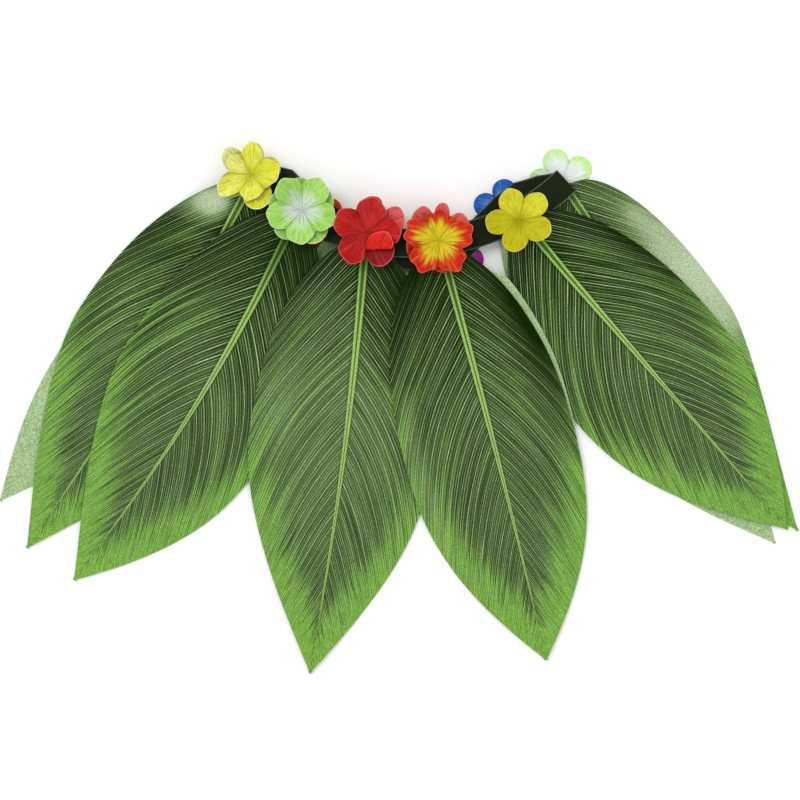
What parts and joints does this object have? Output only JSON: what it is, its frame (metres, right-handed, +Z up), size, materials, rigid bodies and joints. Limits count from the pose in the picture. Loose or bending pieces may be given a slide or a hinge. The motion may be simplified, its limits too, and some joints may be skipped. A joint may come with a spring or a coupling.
{
  "type": "ti leaf skirt",
  "caption": "Costume skirt of broad printed cloth ti leaves on a dark green ribbon waistband with cloth flowers, laid flat and fanned out.",
  "frame": {"origin": "on the surface that the skirt lies on, under the middle of its outline", "axes": "+X across the skirt to the open fold of the waistband, +Y from the leaf tips to the waist, +Z up from the surface"},
  "size_m": [0.7039, 0.4667, 0.033],
  "materials": {
    "leaf": "matte printed woven cloth, dark green with pale veins and bright yellow-green margins",
    "leaf_underside": "matte unprinted back of the leaf cloth, pale grey-green",
    "ribbon": "satin ribbon, nearly black green",
    "yellow_petals": "soft cloth petals, lemon yellow",
    "green_petals": "soft cloth petals, white turning to light green",
    "red_petals": "soft cloth petals, deep red",
    "red_yellow_petals": "soft cloth petals, yellow turning to red",
    "blue_petals": "soft cloth petals, blue",
    "magenta_petals": "soft cloth petals, magenta",
    "orange_petals": "soft cloth petals, orange-red"
  },
  "bodies": {
    "root": {"leaf_front_far_left": "leaf", "leaf_front_left": "leaf", "leaf_front_middle": "leaf", "leaf_front_centre": "leaf", "leaf_front_right": "leaf", "leaf_side_right": "leaf", "leaf_back_far_left": "leaf_underside", "leaf_back_middle": "leaf_underside", "leaf_back_centre": "leaf_underside", "leaf_back_right": "leaf_underside", "waistband_front": "ribbon", "waistband_back": "ribbon", "flower_yellow_left_lower": "yellow_petals", "flower_yellow_left_upper": "yellow_petals", "flower_green_lower": "green_petals", "flower_green_upper": "green_petals", "flower_red_lower": "red_petals", "flower_red_upper": "red_petals", "flower_red_yellow_lower": "red_yellow_petals", "flower_red_yellow_upper": "red_yellow_petals", "flower_yellow_right_lower": "yellow_petals", "flower_yellow_right_upper": "yellow_petals", "flower_blue_back": "blue_petals", "flower_magenta_back": "magenta_petals", "flower_orange_back": "orange_petals", "flower_green_back": "green_petals"}
  },
  "joints": []
}
